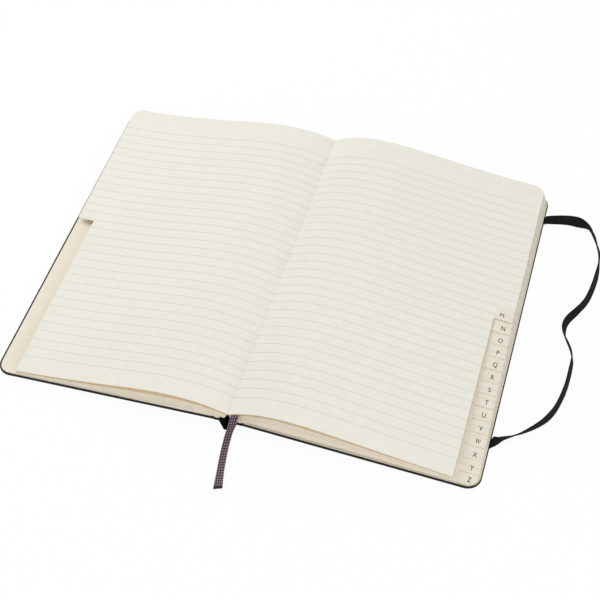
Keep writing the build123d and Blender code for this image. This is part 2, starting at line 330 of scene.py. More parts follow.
# Uncoated ivory paper is matt and a little warm, with a faint cloud of fibres 2 to 6 mm across.
def paper_material(name, light, dark):
    """Uncoated paper of two close tones. A print on it starts from the nodes named place and tone."""
    material, surface = start_material(name, {"Roughness": 0.85, "Specular IOR Level": 0.25, "IOR": 1.5})
    place = add_node(material, "ShaderNodeTexCoord", {"name": "place"})
    fibres = add_node(
        material,
        "ShaderNodeTexNoise",
        {"Scale": 1 / (4 * mm), "Detail": 8},
        {"Vector": place.outputs["Object"]},
    )
    tone = add_node(material, "ShaderNodeValToRGB", {"name": "tone"}, {"Fac": fibres.outputs["Fac"]})
    for stop, position, code in zip(tone.color_ramp.elements, (0.3, 0.7), (dark, light)):
        stop.position = position
        stop.color = linear(code)
    felt = add_node(
        material,
        "ShaderNodeTexNoise",
        {"Scale": 1 / (0.8 * mm), "Detail": 3},
        {"Vector": place.outputs["Object"]},
    )
    tooth = add_node(
        material,
        "ShaderNodeBump",
        {"Strength": 0.1, "Distance": 0.05 * mm},
        {"Height": felt.outputs["Fac"]},
    )
    feed(surface, {"Base Color": tone.outputs["Color"], "Normal": tooth.outputs["Normal"]})
    return material


flyleaf_paper = paper_material("ivory_flyleaf_paper", "#f0e9d8", "#ece4d1")
dress("back_endpaper", flyleaf_paper)

pasted = add_block(
    "pasted_front_endpaper",
    (endpaper_start, endpaper_margin - cover_height / 2, cover_thickness),
    (
        cover_width - front_fore_margin,
        cover_height / 2 - endpaper_margin,
        cover_thickness + endpaper_thickness,
    ),
)
round_edges(
    pasted,
    cover_corner - endpaper_margin,
    corner_steps,
    lambda middle, run: middle.x > cover_width / 2 and abs(run.z) > endpaper_thickness / 2,
)
set_in_place(pasted, cover_place(left), cover_smooth, flyleaf_paper)
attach(pasted, "front_cover")
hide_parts("front_endpaper")

# Spine linings: strips of black book cloth glued along the folds of the sewn leaves, left and right of
# the gutter. They hold the block together and show as the dark walls of the hollow under it.
root_lean = radians(25)
root_gap = 0.12 * mm
root_pitch = 0.36 * mm
gutter_rise = 14 * mm
page_height = 209 * mm
# Places in each side's stack: its sections, its flyleaf and, on the right, the ribbon.
slots = {left: 13, right: 16}
lining_thickness = 0.25 * mm
lining_round = lining_thickness * 0.4
lining_gap = 0.1 * mm
lining_top = 0.8 * mm

# A wave texture of scale 1 repeats its bands every 0.314 m.
wave_repeat = 0.314


def crossed_threads(material, place, warp_gap, weft_gap):
    """Height of a plain weave whose threads cross at two spacings."""
    warp, weft = (
        add_node(
            material,
            "ShaderNodeTexWave",
            {"bands_direction": direction, "Scale": wave_repeat / gap},
            {"Vector": place},
        )
        for direction, gap in (("X", warp_gap), ("Y", weft_gap))
    )
    both = {0: warp.outputs["Fac"], 1: weft.outputs["Fac"]}
    return add_node(material, "ShaderNodeMath", {"operation": "MULTIPLY"}, both).outputs["Value"]


# Book cloth is a plain weave of about 0.6 mm threads filled with starch: matt, with a fine square tooth.
cloth_thread = 0.6 * mm
book_cloth, surface = start_material(
    "black_book_cloth", {"Base Color": linear("#1b1a1b"), "Roughness": 0.8, "Specular IOR Level": 0.25}
)
place = add_node(book_cloth, "ShaderNodeTexCoord")
weave = crossed_threads(book_cloth, place.outputs["Object"], cloth_thread, cloth_thread)
tooth = add_node(
    book_cloth, "ShaderNodeBump", {"Strength": 0.4, "Distance": 0.1 * mm}, {"Height": weave}
)
feed(surface, {"Normal": tooth.outputs["Normal"]})

for side, name, body in (
    (left, "spine_lining_front", "front_cover"),
    (right, "spine_lining_back", "back_cover"),
):
    length = slots[side] * root_pitch - lining_top
    lining = add_block(
        f"glued_{name}",
        (0, -page_height / 2, 0),
        (length, page_height / 2, lining_thickness),
    )
    round_edges(lining, lining_round, 3, lambda middle, run: abs(run.y) > mm)
    down = Vector((side * sin(root_lean), 0, -cos(root_lean)))
    outward = Vector((-side * cos(root_lean), 0, -sin(root_lean)))
    root_top = Vector((side * root_gap, 0, gutter_rise))
    origin = root_top + down * lining_top + outward * lining_gap
    place = turned_place(down, outward.cross(down), outward, origin)
    set_in_place(lining, place, smooth_angle, book_cloth)
    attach(lining, body)
    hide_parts(name)
    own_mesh(lining)

# Leaves: two uncut flyleaves and twenty-six lettered sections of ivory paper, sewn through their folds.
# Each section is cut back below its own tab, so that the letters step down the fore-edge. The open
# leaves arch up out of the gutter, and each side twists a little from head to tail.
page_reach = 132.8 * mm
set_back = {left: 1.3 * mm, right: 2.4 * mm}
page_corner = 6 * mm
letters = "abcdefghijklmnopqrstuvwxyz"
first_right = letters.index("m")
open_letters = "lm"
lit_letters = "ijklmno"
shaded_letters = "ru"
end_tab_trim = 1.4 * mm
tab_pitch = (page_height + 2 * end_tab_trim) / len(letters)
tab_depth = 10.2 * mm
tab_corner = 1.2 * mm
short_tab_share = 0.9
tab_line = 0.3 * mm
leaf_pitch = 0.31 * mm
leaf_fill = 0.8
thickest_leaf = 0.3 * mm
closed_gutter = 0.02 * mm
letter_inset = 4.3 * mm
m_inset = 6.4 * mm
leaves_in_section = 3
leaves_in_flyleaf = 2
gutter_crowding = 1.6
curve_halvings = 26
looks_up = 0.5
# The leaves slip past each other unevenly, by a sine of their numbers.
most_slip = 0.12 * mm
slip_by_section = 7
slip_by_leaf = 3
arch_shoulder = 18 * mm
arch_crest = 38 * mm
arch_knee = 60 * mm
arch_far = 108 * mm
arch_run_out = 133.2 * mm
floor_lift = {left: 0.4 * mm, right: 2 * mm}
rim_lift = {left: 0.4 * mm, right: 1 * mm}
shoulder_low = {left: 3.9 * mm, right: 5.5 * mm}
shoulder_high = {left: 13 * mm, right: 16.6 * mm}
knee_high = {left: 9.3 * mm, right: 12.4 * mm}
knee_slope = {left: 0.138, right: 0.11}
far_high = {left: 2.9 * mm, right: 7.2 * mm}
# Twist of each side: distance out from the gutter, and rise of the head over the middle, in mm.
twist = {
    left: (
        (0, 0), (10, -0.3), (45, -0.7), (60, -0.65),
        (75, -0.55), (90, -0.36), (105, -0.14), (134, 0.52),
    ),
    right: (
        (0, 0), (6, 0.24), (30, 0.38), (60, 0.56),
        (75, 0.65), (90, 0.89), (105, 1.15), (134, 1.93),
    ),
}
root_run = 20 * mm
letter_size = 4.2 * mm
letter_width = 0.82
letter_weight = 0.03 * mm
letter_widest = 2.8 * mm
letter_rise = 3.3 * mm
z_rise = 3.1 * mm
ink_thickness = 0.02 * mm


def inside_height(out):
    """Height of the inside face of an open cover, at a distance out from the gutter."""
    return joint_rise + cover_thickness / cos(cover_slope) - (out - joint_half_gap) * tan(cover_slope)


def leaf_curve(side, share):
    """Points that steer a leaf from its root over its knee to a point past the fore-edge."""
    floor = floor_lift[side]
    rim = rim_lift[side]
    down = slots[side] * root_pitch * (1 - share)
    knee = floor + (knee_high[side] - floor) * share
    knee_run = arch_knee - arch_crest
    knee_fall = knee_slope[side] * share * knee_run
    lifts = (
        (arch_shoulder, shoulder_low[side] + (shoulder_high[side] - shoulder_low[side]) * share),
        (arch_crest, knee + knee_fall),
        (arch_knee, knee),
        (arch_knee + knee_run, knee - knee_fall),
        (arch_far, rim + (far_high[side] - rim) * share),
        (arch_run_out, rim + slots[side] * leaf_pitch * share),
    )
    root = (root_gap + down * sin(root_lean), gutter_rise - down * cos(root_lean))
    return [root] + [(out, inside_height(out) + lift) for out, lift in lifts]


@lru_cache(maxsize=None)
def arch_height(side, share, out):
    """Height of a leaf at a distance out from the gutter, halfway between tail and head."""
    curve = leaf_curve(side, share)
    steer = curve[:4] if out < arch_knee else curve[3:]
    low = 0
    high = 1
    for halving in range(curve_halvings):
        way = (low + high) / 2
        weights = ((1 - way) ** 3, 3 * way * (1 - way) ** 2, 3 * way ** 2 * (1 - way), way ** 3)
        if sum(weight * point[0] for weight, point in zip(weights, steer)) < out:
            low = way
        else:
            high = way
    return sum(weight * point[1] for weight, point in zip(weights, steer))


def leaf_height(side, share, out, y):
    """Height of a leaf at a distance out from the gutter and a place between tail and head."""
    for (near, near_turn), (far, far_turn) in zip(twist[side], twist[side][1:]):
        if near * mm <= out <= far * mm:
            turn = near_turn + (far_turn - near_turn) * (out / mm - near) / (far - near)
    return arch_height(side, share, out) + turn * mm * share * y / (page_height / 2)


def leaf_body(side, share, out):
    """Thickness with which a leaf fills its share of the stack, at a distance out from the gutter."""
    spread = leaf_fill / leaves_in_section / slots[side]
    room = arch_height(side, share + spread / 2, out) - arch_height(side, share - spread / 2, out)
    slope = (arch_height(side, share, out + mm) - arch_height(side, share, out)) / mm
    return min(thickest_leaf, room / hypot(1, slope))


def add_sheet(name, reach):
    """A flat leaf as a grid that is finer towards the gutter."""
    bpy.ops.mesh.primitive_grid_add(x_subdivisions=36, y_subdivisions=12, size=1)
    sheet = bpy.context.object
    sheet.name = name
    for corner in sheet.data.vertices:
        corner.co = (reach * (corner.co.x + 0.5) ** gutter_crowding, page_height * corner.co.y, 0)
    return sheet


def split(sheet, point, normal, region, clear=False):
    """Cuts one region of a flat leaf along a line, and throws the far side away if asked to."""
    pick(sheet, "FACE", region)
    bpy.ops.mesh.bisect(plane_co=(*point, 0), plane_no=(*normal, 0), clear_outer=clear)


def round_corner(sheet, x, y, up, radius, region):
    """Rounds a fore-edge corner with five straight trims. Up is 1 at the head and -1 at the tail."""
    for angle in (15, 30, 45, 60, 75):
        normal = (cos(radians(angle)), up * sin(radians(angle)))
        point = (x - radius + radius * normal[0], y - up * radius + up * radius * abs(normal[1]))
        split(sheet, point, normal, region, clear=True)


# Page paper is ruled in pale grey every 6.04 mm. The rule is drawn 0.3 mm wide so that it shows, and
# fades a little at its edges.
rule_pitch = 6.04 * mm
rule_middle = -2.93 * mm
rule_reach = 91.4 * mm
rule_width = 0.3 * mm
rule_fade = rule_width * 0.35
rule_gone = rule_width * 0.65


def ruled_paper(name, light, dark, rule):
    """Uncoated paper with feint rules across it, from Y."""
    material = paper_material(name, light, dark)
    nodes = material.node_tree.nodes
    axes = add_node(material, "ShaderNodeSeparateXYZ", {}, {"Vector": nodes["place"].outputs["Object"]})
    from_middle = add_node(
        material, "ShaderNodeMath", {"operation": "SUBTRACT", 1: rule_middle}, {0: axes.outputs["Y"]}
    )
    off_rule = add_node(
        material,
        "ShaderNodeMath",
        {"operation": "PINGPONG", 1: rule_pitch / 2},
        {0: from_middle.outputs["Value"]},
    )
    on_rule = add_node(
        material,
        "ShaderNodeMapRange",
        {"From Min": rule_fade, "From Max": rule_gone, "To Min": 1, "To Max": 0},
        {"Value": off_rule.outputs["Value"]},
    )
    how_far = add_node(
        material, "ShaderNodeMath", {"operation": "ABSOLUTE"}, {0: from_middle.outputs["Value"]}
    )
    on_page = add_node(
        material,
        "ShaderNodeMath",
        {"operation": "LESS_THAN", 1: rule_reach},
        {0: how_far.outputs["Value"]},
    )
    inked = add_node(
        material,
        "ShaderNodeMath",
        {"operation": "MULTIPLY"},
        {0: on_rule.outputs["Result"], 1: on_page.outputs["Value"]},
    )
    print_on = add_node(
        material,
        "ShaderNodeMixRGB",
        {"Color2": linear(rule)},
        {"Fac": inked.outputs["Value"], "Color1": nodes["tone"].outputs["Color"]},
    )
    feed(nodes["Principled BSDF"], {"Base Color": print_on.outputs["Color"]})
    return material


page_paper = ruled_paper("ruled_ivory_paper", "#efece2", "#ebe8dd", "#d0cdc2")
tab_paper = ruled_paper("tinted_tab_paper", "#ece6d8", "#e8e1d1", "#d3ccba")
# The cut edge of paper is rougher and takes up dirt, so it is tanner than the face.
cut_edge = paper_material("cut_paper_edge", "#f7ecd9", "#f0e3cc")
# Just under the open page the leaves stand apart, and the light that comes through them makes their
# edges golden.
golden_edge = paper_material("lit_through_paper_edge", "#dfc08f", "#d3b27e")
# A section that stands off the one below it leaves a fine brown line of shade.
shaded_edge = paper_material("shaded_paper_edge", "#a08b6d", "#94805f")
# Along a cut tab the edge shows as a tan line: partly the tan of the cut edge, partly painted shade
# where the tab steps down to the leaf below. It is drawn 0.3 mm wide so that it can be seen.
tab_edge = paper_material("tan_tab_edge_with_painted_shade", "#d9ccae", "#cfc09c")
# Printing ink is a thin matt grey-black film.
ink, surface = start_material("grey_black_ink", {"Roughness": 0.7, "Specular IOR Level": 0.3})
place = add_node(ink, "ShaderNodeTexCoord")
speckle = add_node(
    ink,
    "ShaderNodeTexNoise",
    {"Scale": 1 / (0.5 * mm), "Detail": 2},
    {"Vector": place.outputs["Object"]},
)
tone = add_node(ink, "ShaderNodeValToRGB", {}, {"Fac": speckle.outputs["Fac"]})
tone.color_ramp.elements[0].color = linear("#262422")
tone.color_ramp.elements[1].color = linear("#3e3c39")
feed(surface, {"Base Color": tone.outputs["Color"]})


def select_only(pieces):
    """Selects some pieces and nothing else, with the first one active."""
    bpy.ops.object.select_all(action="DESELECT")
    for piece in pieces:
        piece.select_set(True)
    bpy.context.view_layer.objects.active = pieces[0]


def bend_leaf(flat, side, share, reach, slip, root):
    """A copy of a flat leaf laid in its place on one side's arch, as its own thin sheet."""
    leaf = flat.copy()
    leaf.data = flat.data.copy()
    bpy.context.collection.objects.link(leaf)
    body = leaf.vertex_groups.new(name="body")
    for corner in leaf.data.vertices:
        out = corner.co.x + root * max(0, 1 - corner.co.x / root_run) + slip * corner.co.x / reach
        body.add([corner.index], leaf_body(side, share, out) / thickest_leaf, "REPLACE")
        corner.co = (side * out, corner.co.y, leaf_height(side, share, out, corner.co.y))
    if side == left:
        leaf.data.flip_normals()
    select_only([leaf])
    apply_modifier(
        leaf, "SOLIDIFY", thickness=thickest_leaf, vertex_group="body", offset=0, material_offset_rim=1
    )
    for face in leaf.data.polygons:
        if side == left and face.normal.z > looks_up:
            face.material_index = 0
    return leaf


def print_letter(letter, side, share, reach, middle):
    """The capital on a tab. Right-hand tabs show it on top, and left-hand ones, turned over, below."""
    bpy.ops.object.text_add()
    text = bpy.context.object
    text.data.body = letter.upper()
    text.data.size = letter_size
    text.data.align_x = "CENTER"
    text.data.align_y = "CENTER"
    text.data.extrude = ink_thickness / 2
    text.data.offset = 0 if letter == "m" else letter_weight
    text.data.resolution_u = 3
    bpy.ops.object.convert(target="MESH")
    capital = bpy.context.object
    squeeze = min(letter_width, letter_widest / capital.dimensions.x)
    for corner in capital.data.vertices:
        out = reach - (m_inset if letter == "m" else letter_inset) + corner.co.x * squeeze
        y = middle + corner.co.y
        face = leaf_body(side, share, out) / 2 + ink_thickness / 2
        corner.co = (side * out, y, leaf_height(side, share, out, y) + side * (face + corner.co.z))
    capital.data.materials.append(ink)
    return capital


def join_pieces(pieces, name):
    """Joins the leaves of a section, and its letter if it has one, into one piece."""
    select_only(pieces)
    bpy.ops.object.join()
    joined = bpy.context.object
    joined.name = name
    joined.data.name = name
    return joined


def lay_in_stack(piece, body, node):
    """Fixes a finished section to its body, hides its CAD node and gives it a mesh of its own."""
    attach(piece, body)
    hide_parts(node)
    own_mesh(piece)


# Each flyleaf is folded on from the pasted endpaper, so the fold fills the wedge between them at the
# joint, and dips into the groove there. On the right it passes over the mouth of the pocket.
fold_start = 5 * mm
fold_end = 60 * mm
fold_clearance = 0.25 * mm
fold_thickness = 5 * mm
pocket_step = {left: 0, right: 1.6 * mm}
pocket_from = 12 * mm
groove_dip = 1 * mm
groove_end = 7.9 * mm
groove_fade = 1 * mm
floor_root = {side: leaf_curve(side, 0)[0][0] for side in (left, right)}


def whole_leaf(middle, normal):
    """Region that takes in all of a flat leaf."""
    return True


for side, node, body in (
    (left, "front_flyleaf", "flyleaf_front"),
    (right, "back_flyleaf", "flyleaf_back"),
):
    flat = add_sheet("flat_leaf", page_reach)
    for up in (1, -1):
        round_corner(flat, page_reach, up * page_height / 2, up, page_corner, whole_leaf)
    bpy.ops.object.mode_set(mode="OBJECT")
    flat.data.materials.append(flyleaf_paper)
    flat.data.materials.append(cut_edge)
    sheets = []
    for number in range(leaves_in_flyleaf):
        share = leaf_fill * (number + 0.5) / leaves_in_flyleaf / slots[side]
        sheets.append(bend_leaf(flat, side, share, page_reach, 0, floor_root[side]))
    bpy.data.objects.remove(flat)
    fold = add_sheet("endpaper_fold", fold_end - fold_start)
    body_group = fold.vertex_groups.new(name="body")
    for corner in fold.data.vertices:
        out = fold_start + corner.co.x
        low = inside_height(out) + fold_clearance + pocket_step[side] * min(1, out / pocket_from) ** 3
        low -= groove_dip * max(0, min(1, (groove_end - out) / groove_fade))
        high = leaf_height(side, 0, out, corner.co.y)
        body_group.add([corner.index], (high - low) / fold_thickness, "REPLACE")
        corner.co = (side * out, corner.co.y, (low + high) / 2)
    if side == left:
        fold.data.flip_normals()
    fold.data.materials.append(flyleaf_paper)
    fold.data.materials.append(cut_edge)
    apply_modifier(
        fold, "SOLIDIFY", thickness=fold_thickness, vertex_group="body", offset=0, material_offset_rim=1
    )
    flyleaf = join_pieces(sheets + [fold], f"sewn_{node}")
    bpy.ops.object.shade_smooth_by_angle(angle=smooth_angle)
    lay_in_stack(flyleaf, body, node)

for index, letter in enumerate(letters):
    side = left if index < first_right else right
    slot = index + 1
    if side == right:
        slot = slots[right] - 1 if letter == "m" else len(letters) - index
    reach = page_reach - set_back[side] * slot / slots[side]
    cut = reach - tab_depth
    tail = -page_height / 2
    tab_top = page_height / 2 + end_tab_trim - index * tab_pitch
    tab_end = tab_top - tab_pitch
    flat = add_sheet("flat_leaf", reach)
    in_tabs = lambda middle, normal: middle.x > cut
    split(flat, (cut, 0), (1, 0), whole_leaf)
    if letter != "z":
        split(flat, (0, tab_end), (0, 1), whole_leaf)
        split(flat, (0, tab_end + tab_line), (0, 1), in_tabs)
        if letter == "m":
            split(flat, (cut - tab_line, 0), (1, 0), lambda middle, normal: middle.y < tab_end)
        pick(flat, "FACE", lambda middle, normal: middle.x > cut and middle.y < tab_end)
        bpy.ops.mesh.delete(type="FACE")
        round_corner(flat, cut, tail, -1, tab_corner, lambda middle, normal: middle.x < cut)
    split(flat, (0, tab_top), (0, 1), in_tabs)
    if letter == "z":
        round_corner(flat, reach, tail, -1, page_corner, in_tabs)
    else:
        round_corner(flat, reach, tab_end, -1, tab_corner, in_tabs)
    head_room = short_tab_share * (page_height / 2 - tab_end - tab_corner)
    round_corner(flat, reach, page_height / 2, 1, min(page_corner, head_room), whole_leaf)
    bpy.ops.object.mode_set(mode="OBJECT")
    # Left-hand tab rims take the golden edge too: painted light through the paper, in the shaded hollow
    # under each tab.
    tab_rim = golden_edge if side == left else cut_edge
    finishes = (page_paper, cut_edge, tab_paper, tab_edge, tab_rim, ink)
    for finish in finishes:
        flat.data.materials.append(finish)
    # Tab faces take the tinted paper. A band along each tab's lower edge, and on M along its cut, takes
    # the tan edge with its painted step shade.
    for face in flat.data.polygons:
        if face.center.x > cut and face.center.y < tab_top:
            on_line = letter != "z" and face.center.y < tab_end + tab_line
            face.material_index = finishes.index(tab_edge if on_line else tab_paper)
        elif letter == "m" and face.center.x > cut - tab_line and face.center.y < tab_end:
            face.material_index = finishes.index(tab_edge)
    sheets = []
    for number in range(leaves_in_section):
        share = (slot + leaf_fill * (number + 0.5) / leaves_in_section) / slots[side]
        slip = most_slip * sin(slip_by_section * slot + slip_by_leaf * number)
        top_leaf = letter in open_letters and number == leaves_in_section - 1
        root = closed_gutter if top_leaf else leaf_curve(side, share)[0][0]
        sheets.append(bend_leaf(flat, side, share, reach, slip, root))
        if letter in lit_letters and not top_leaf:
            sheets[-1].data.materials[finishes.index(cut_edge)] = golden_edge
        elif letter in shaded_letters and number == 0:
            sheets[-1].data.materials[finishes.index(cut_edge)] = shaded_edge
    bpy.data.objects.remove(flat)
    printed_leaf = leaves_in_section - 0.5 if side == right else 0.5
    printed = (slot + leaf_fill * printed_leaf / leaves_in_section) / slots[side]
    letter_middle = tail + z_rise if letter == "z" else tab_end + letter_rise
    capital = print_letter(letter, side, printed, reach, letter_middle)
    section = join_pieces(sheets + [capital], f"sewn_section_{letter}")
    bpy.ops.object.shade_smooth_by_angle(angle=smooth_angle)
    lay_in_stack(section, f"leaves_{letter}", f"section_{letter}")

# Marker ribbon: a narrow woven mauve ribbon glued in at the head of the spine. It lies in the gutter
# under the open right-hand page, comes out at the tail and drops to the table, and its cut end flares.
ribbon_width = 5.2 * mm
ribbon_thickness = 0.28 * mm
ribbon_near_edge = 1.7 * mm
ribbon_slot = 14
ribbon_share = (ribbon_slot + leaf_fill / 2) / slots[right]
ribbon_fill = 0.6
ribbon_rows = 13
end_flare = 0.2
flare_from = 0.9
flare_run = 0.1
singed_length = 1.5 * mm
# Points that steer its free end, in mm, and its lean at each, in degrees.
ribbon_route = (
    (4.2, -105.05, 15.3, 25), (4.1, -107.4, 13.7, 27), (3.5, -109.2, 10.7, 30), (2.5, -111.0, 6.8, 32),
    (2.1, -113.9, 3.5, 33), (2.3, -118.4, 1.9, 33), (3.2, -124.6, 1.6, 32), (4.6, -133.0, 1.55, 32),
    (6.3, -141.3, 1.8, 32),
)

# Rayon ribbon is a plain weave that shines a little. Its pale weft shows as rows of dots,
# drawn 1.6 mm apart so that they show.
rayon, surface = start_material(
    "mauve_rayon_ribbon", {"Roughness": 0.55, "Specular IOR Level": 0.4, "Sheen Weight": 0.15}
)
strip_map = add_node(rayon, "ShaderNodeUVMap", {"uv_map": "weave"})
dots = crossed_threads(rayon, strip_map.outputs["UV"], 1.5 * mm, 1.6 * mm)
tone = add_node(rayon, "ShaderNodeValToRGB", {}, {"Fac": dots})
for stop, position, code in zip(tone.color_ramp.elements, (0.15, 0.65), ("#220f1b", "#a68699")):
    stop.position = position
    stop.color = linear(code)
ridge = add_node(rayon, "ShaderNodeBump", {"Strength": 0.4, "Distance": 0.1 * mm}, {"Height": dots})
feed(surface, {"Base Color": tone.outputs["Color"], "Normal": ridge.outputs["Normal"]})


def spline_points(name, route):
    """Points along the smooth line that a route's points steer, and the lean at each, in degrees."""
    line = bpy.data.curves.new(name, "CURVE")
    line.dimensions = "3D"
    line.resolution_u = 8
    spline = line.splines.new("NURBS")
    spline.points.add(len(route) - 1)
    for point, (x, y, z, lean) in zip(spline.points, route):
        point.co = (x * mm, y * mm, z * mm, 1)
    spline.order_u = 3
    spline.use_endpoint_u = True
    holder = bpy.data.objects.new(name, line)
    bpy.context.collection.objects.link(holder)
    bpy.context.view_layer.update()
    drawn = bpy.data.meshes.new_from_object(holder)
    points = [corner.co.copy() for corner in drawn.vertices]
    bpy.data.objects.remove(holder)
    bpy.data.meshes.remove(drawn)
    leans = []
    for number in range(len(points)):
        # The route's first and last steps take up half a span of the smooth line.
        step = number / (len(points) - 1) * (len(route) - 2)
        way = max(min(2 * step, step + 0.5), 2 * step - len(route) + 3)
        before = min(int(way), len(route) - 2)
        share = way - before
        leans.append(route[before][3] * (1 - share) + route[before + 1][3] * share)
    return points, leans


def add_strap(name, points, acrosses, widths, thickness, material):
    """A flat strap with soft edges along a line of points, turned as its width's direction says."""
    # Section, in shares of its width and thickness.
    section = (
        (-0.5, 0), (-0.46, 0.5), (0, 0.5), (0.46, 0.5),
        (0.5, 0), (0.46, -0.5), (0, -0.5), (-0.46, -0.5),
    )
    corners = []
    maps = []
    along = 0
    for number, (point, across, width) in enumerate(zip(points, acrosses, widths)):
        before = points[max(number - 1, 0)]
        after = points[min(number + 1, len(points) - 1)]
        run = (after - before).normalized()
        out = across.cross(run).normalized()
        along += (point - before).length
        for wide, thick in section:
            corners.append(point + across * wide * width + out * thick * thickness)
            maps.append((wide * width, along))
    count = len(section)
    faces = []
    for number in range(len(points) - 1):
        for step in range(count):
            first = number * count + step
            second = number * count + (step + 1) % count
            faces.append((first, second, second + count, first + count))
    faces.append(tuple(reversed(range(count))))
    faces.append(tuple(range(len(corners) - count, len(corners))))
    mesh = bpy.data.meshes.new(name)
    mesh.from_pydata(corners, [], faces)
    weave = mesh.uv_layers.new(name="weave")
    for loop in mesh.loops:
        weave.data[loop.index].uv = maps[loop.vertex_index]
    strap = bpy.data.objects.new(name, mesh)
    bpy.context.collection.objects.link(strap)
    select_only([strap])
    bpy.ops.object.mode_set(mode="EDIT")
    bpy.ops.mesh.select_all(action="SELECT")
    bpy.ops.mesh.normals_make_consistent(inside=False)
    bpy.ops.object.mode_set(mode="OBJECT")
    bpy.ops.object.shade_smooth_by_angle(angle=smooth_angle)
    mesh.materials.append(material)
    return strap


ribbon_middle = ribbon_near_edge + ribbon_width / 2
in_block = []
for number in range(ribbon_rows):
    y = page_height * (0.5 - number / (ribbon_rows - 1))
    in_block.append(Vector((ribbon_middle, y, leaf_height(right, ribbon_share, ribbon_middle, y))))
near_height = leaf_height(right, ribbon_share, ribbon_near_edge, 0)
far_height = leaf_height(right, ribbon_share, ribbon_near_edge + ribbon_width, 0)
slope_across = Vector((ribbon_width, 0, far_height - near_height)).normalized()
marker = add_strap(
    "marker_in_gutter",
    in_block,
    [slope_across] * ribbon_rows,
    [ribbon_width] * ribbon_rows,
    leaf_pitch * ribbon_fill,
    rayon,
)
lay_in_stack(marker, "back_cover", "ribbon_in_block")

drop_line, leans = spline_points("ribbon_line", ribbon_route)
acrosses = [Vector((cos(radians(lean)), 0, sin(radians(lean)))) for lean in leans]
widths = []
for number in range(len(drop_line)):
    way = number / (len(drop_line) - 1)
    widths.append(ribbon_width * (1 + end_flare * max(0, way - flare_from) / flare_run))
tail_ribbon = add_strap("marker_tail", drop_line, acrosses, widths, ribbon_thickness, rayon)
# The cut end is singed so that it frays no further, and shows as a dark rim.
singed_end = start_material(
    "singed_ribbon_end", {"Base Color": linear("#2c2029"), "Roughness": 0.7, "Specular IOR Level": 0.3}
)[0]
tail_ribbon.data.materials.append(singed_end)
for face in tail_ribbon.data.polygons:
    if face.center.y < drop_line[-1].y + singed_length:
        face.material_index = 1
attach(tail_ribbon, "back_cover")
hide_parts("ribbon_tail")

# Pocket: a panel of thin card folded down and glued at the fore-edge of the back cover, open to the
# spine. A pleat of black book cloth at head and tail, folded in on itself, lets it swell.
pocket_mouth = 12.5 * mm
pocket_base = 1.65 * mm
pocket_end = cover_width - 2.5 * mm
pocket_half_height = 102.9 * mm
pocket_corner = 6 * mm
mouth_height = 1.1 * mm
end_height = 0.24 * mm
gusset_width = 7 * mm
gusset_cloth = 0.1 * mm
pleat_round = 0.3 * mm
touching = 0.1 * mm

# Pocket card is smooth ivory board with a little more body and shine than the leaves.
pocket_card = paper_material("ivory_pocket_card", "#e9e2cf", "#e4dcc7")
pocket_card.node_tree.nodes["Principled BSDF"].inputs["Roughness"].default_value = 0.7
dress("pocket_panel", pocket_card)

for end, name in ((1, "pocket_gusset_head"), (-1, "pocket_gusset_tail")):
    low = pocket_base + gusset_cloth / 2
    high = pocket_base + mouth_height - gusset_cloth / 2
    outer = end * (pocket_half_height - gusset_cloth)
    inner = end * (pocket_half_height - gusset_width + gusset_cloth)
    first = pocket_mouth + gusset_cloth
    last = pocket_end - pocket_corner - gusset_cloth
    bpy.ops.mesh.primitive_plane_add(size=1)
    pleat = bpy.context.object
    pleat.name = f"pleated_{name}"
    pleat.data.name = pleat.name
    middle = Vector(((first + last) / 2, (outer + inner) / 2, low))
    size = Vector((last - first, abs(outer - inner), 1))
    pleat.data.transform(Matrix.LocRotScale(middle, None, size))
    pick(pleat, "EDGE", lambda middle, run: abs(middle.y - inner) < touching)
    bpy.ops.mesh.extrude_region_move(TRANSFORM_OT_translate={"value": (0, outer - inner, high - low)})
    pick(pleat, "EDGE", lambda middle, run: abs(run.x) > mm and abs(middle.y - inner) < touching)
    bpy.ops.mesh.bevel(offset=pleat_round, segments=3, affect="EDGES")
    bpy.ops.mesh.select_all(action="SELECT")
    bpy.ops.mesh.normals_make_consistent(inside=False)
    bpy.ops.object.mode_set(mode="OBJECT")
    for corner in pleat.data.vertices:
        taper = (corner.co.x - first) / (last - first)
        top = pocket_base + mouth_height + (end_height - mouth_height) * taper - gusset_cloth / 2
        corner.co.z = low + (corner.co.z - low) / (high - low) * (top - low)
    apply_modifier(pleat, "SOLIDIFY", thickness=gusset_cloth, offset=0)
    set_in_place(pleat, cover_place(right), smooth_angle, book_cloth)
    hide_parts(name)
    cover_place(right) @ Vector((middle.x, middle.y, low))
    cover_place(right) @ Vector((middle.x, middle.y, high))
    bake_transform(pleat)

# Elastic closure: a flat black woven elastic whose two ends are glued into slots in the back board.
# Pulled off the book, its loop springs out and lies on the table on edge, with a twist near each end.
elastic_width = 6.5 * mm
elastic_thickness = 0.7 * mm
elastic_tuck = 17.5 * mm
elastic_rim = 0.5 * mm
tuck_points = 5
end_blend = 5 * mm
# Points that steer its loop, in mm, and its lean at each, in degrees.
elastic_route = (
    (134.68, 86.8, 1.35, 90), (144.7, 90.2, 1.2, 100), (154.2, 90.4, 1.9, 117), (162.3, 85.1, 2.8, 41),
    (166.0, 76.2, 3.3, 25), (170.3, 65.1, 3.4, 3), (170.6, 50.5, 3.4, 20), (168.7, 34.5, 3.4, 19),
    (165.9, 26.0, 3.4, 13), (156.0, 8.7, 3.3, 25), (166.6, -8.0, 3.4, 11), (166.7, -19.4, 3.4, 17),
    (166.1, -34.2, 3.4, 15), (161.7, -52.8, 3.4, 10), (148.4, -67.1, 3.3, -21), (137.6, -72.6, 2.5, -50),
    (134.68, -75.4, 1.35, -90),
)

